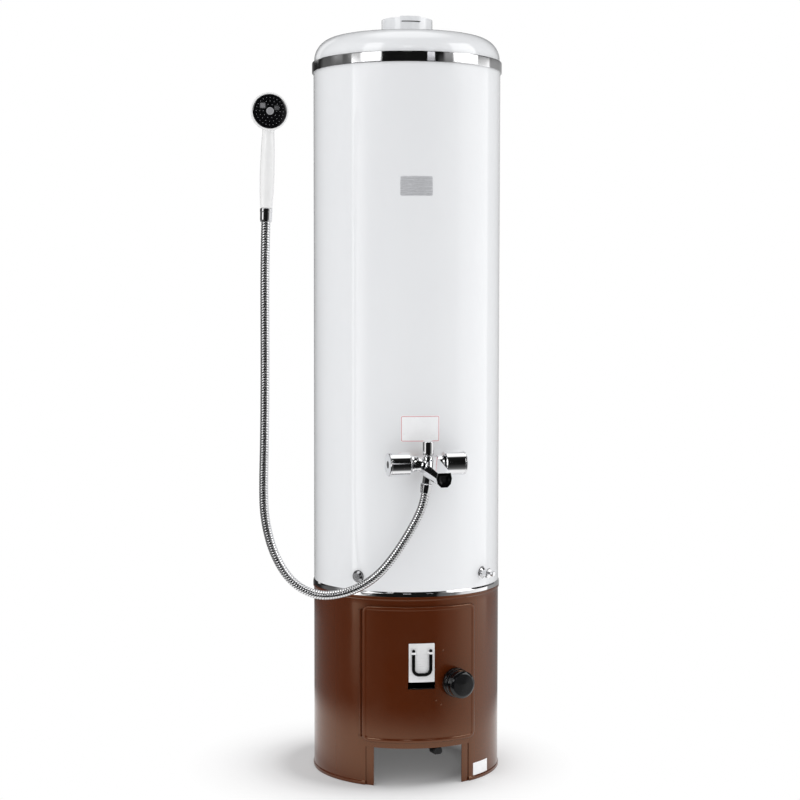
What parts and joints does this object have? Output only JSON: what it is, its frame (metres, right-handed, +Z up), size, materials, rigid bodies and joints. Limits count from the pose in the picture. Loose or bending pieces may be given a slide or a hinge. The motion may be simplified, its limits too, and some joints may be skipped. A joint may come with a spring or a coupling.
{
  "type": "wood-fired water heater with mixer tap and hand shower",
  "caption": "Free-standing bath stove: round firebox base with a curved door and air slide, jacketed water tank, flue collar, mixer tap, ribbed hose and hand shower.",
  "frame": {"origin": "centre of the round base on the floor", "axes": "+Z up along the stove and flue; the fire door faces -Y; +X is to the right of someone facing the door"},
  "size_m": [0.5201, 0.542, 1.5125],
  "materials": {
    "brown_enamel": "glossy",
    "white_enamel": "glossy",
    "bright_steel": "polished",
    "plain_steel": "satin",
    "handle_black": "satin",
    "damper_steel": "satin",
    "tip_plastic": "matt",
    "cast_iron": "rough",
    "fireclay": "rough",
    "tank_steel": "satin",
    "mineral_wool": "matt",
    "copper_pipe": "satin",
    "mixer_chrome": "polished",
    "black_inserts": "glossy",
    "tap_knob": "polished",
    "gasket_rubber": "matt",
    "hose_steel": "bright ribbed",
    "handset_plastic": "glossy",
    "spray_black": "glossy",
    "face_grey": "satin",
    "label_film": "satin",
    "plate_metal": "satin",
    "knob_black": "satin"
  },
  "bodies": {
    "stove": {"aerator": "black_inserts", "ash_pan": "plain_steel", "base_casing": "brown_enamel", "base_floor": "plain_steel", "base_top_plate": "plain_steel", "cold_pipe": "copper_pipe", "damper_pin": "plain_steel", "drain_plug": "mixer_chrome", "drain_valve_body": "mixer_chrome", "fire_crown": "tank_steel", "firebricks": "fireclay", "flue_spigot": "white_enamel", "flue_tube": "tank_steel", "grate": "cast_iron", "grate_frame": "plain_steel", "hinge_ears": "brown_enamel", "hinge_pin": "brown_enamel", "hose_nut_lower": "mixer_chrome", "hose_nut_upper": "mixer_chrome", "hot_pipe": "copper_pipe", "insulation": "mineral_wool", "jacket": "white_enamel", "latch_keeper": "plain_steel", "leg_frame": "brown_enamel", "lower_trim": "bright_steel", "mixer_body": "mixer_chrome", "name_plate": "plate_metal", "outlet_nipple": "mixer_chrome", "pan_runners": "plain_steel", "plug_gasket": "gasket_rubber", "shower_hose": "hose_steel", "stickers": "label_film", "tank_head": "tank_steel", "tank_sockets": "tank_steel", "tank_wall": "tank_steel", "tap_headworks": "mixer_chrome", "top_cover": "white_enamel", "union_nuts": "mixer_chrome", "upper_band": "bright_steel", "valve_rosette": "mixer_chrome"},
    "door": {"door_skin": "brown_enamel", "door_liner": "plain_steel", "spindle_bush": "plain_steel", "door_rivets": "brown_enamel"},
    "door_latch": {"door_knob": "knob_black", "latch_bolt": "plain_steel"},
    "air_slide": {"slide_plate": "bright_steel", "slide_keeper": "plain_steel", "slide_bail": "handle_black"},
    "hot_tap": {"hot_knob": "tap_knob", "hot_spindle": "black_inserts"},
    "cold_tap": {"cold_knob": "tap_knob", "cold_spindle": "black_inserts"},
    "diverter": {"diverter_knob": "mixer_chrome"},
    "drain_tap": {"valve_spindle": "mixer_chrome"},
    "damper": {"damper_lever": "damper_steel", "damper_tip": "tip_plastic"},
    "hand_shower": {"handset_body": "handset_plastic", "spray_face": "spray_black", "face_screw": "face_grey"}
  },
  "joints": [
    {"name": "door_hinge", "type": "hinge", "parent": "stove", "child": "door", "pos_m": [-0.1156, -0.15267, 0.2], "axis": [0, 0, -1], "range_deg": [0, 110]},
    {"name": "door_latch_turn", "type": "hinge", "parent": "door", "child": "door_latch", "pos_m": [0.06311, -0.17921, 0.2055], "axis": [-0.3322, 0.9432, 0], "range_deg": [0, 90]},
    {"name": "air_slide_lift", "type": "slide", "parent": "door", "child": "air_slide", "axis": [0, 0, 1], "range_m": [-0.0145, 0.025]},
    {"name": "hot_tap_turn", "type": "hinge", "parent": "stove", "child": "hot_tap", "pos_m": [0, -0.238, 0.639], "axis": [-0.9914, -0.1305, 0], "range_deg": [0, 540]},
    {"name": "cold_tap_turn", "type": "hinge", "parent": "stove", "child": "cold_tap", "pos_m": [0, -0.238, 0.639], "axis": [0.9914, 0.1305, 0], "range_deg": [0, 540]},
    {"name": "diverter_lift", "type": "slide", "parent": "stove", "child": "diverter", "axis": [0, 0, 1], "range_m": [0, 0.008]},
    {"name": "drain_tap_turn", "type": "hinge", "parent": "stove", "child": "drain_tap", "pos_m": [0.13079, -0.13782, 0.411], "axis": [0.6884, -0.7254, 0], "range_deg": [0, 360]},
    {"name": "damper_swing", "type": "hinge", "parent": "stove", "child": "damper", "pos_m": [0, -0.06, 0.085], "axis": [0, 0, 1], "range_deg": [-40.6, 9.4]},
    {"name": "hand_shower_turn", "type": "hinge", "parent": "stove", "child": "hand_shower", "pos_m": [-0.30015, -0.18939, 1.09701], "axis": [0.031, -0.005, 0.9995], "continuous": true}
  ]
}
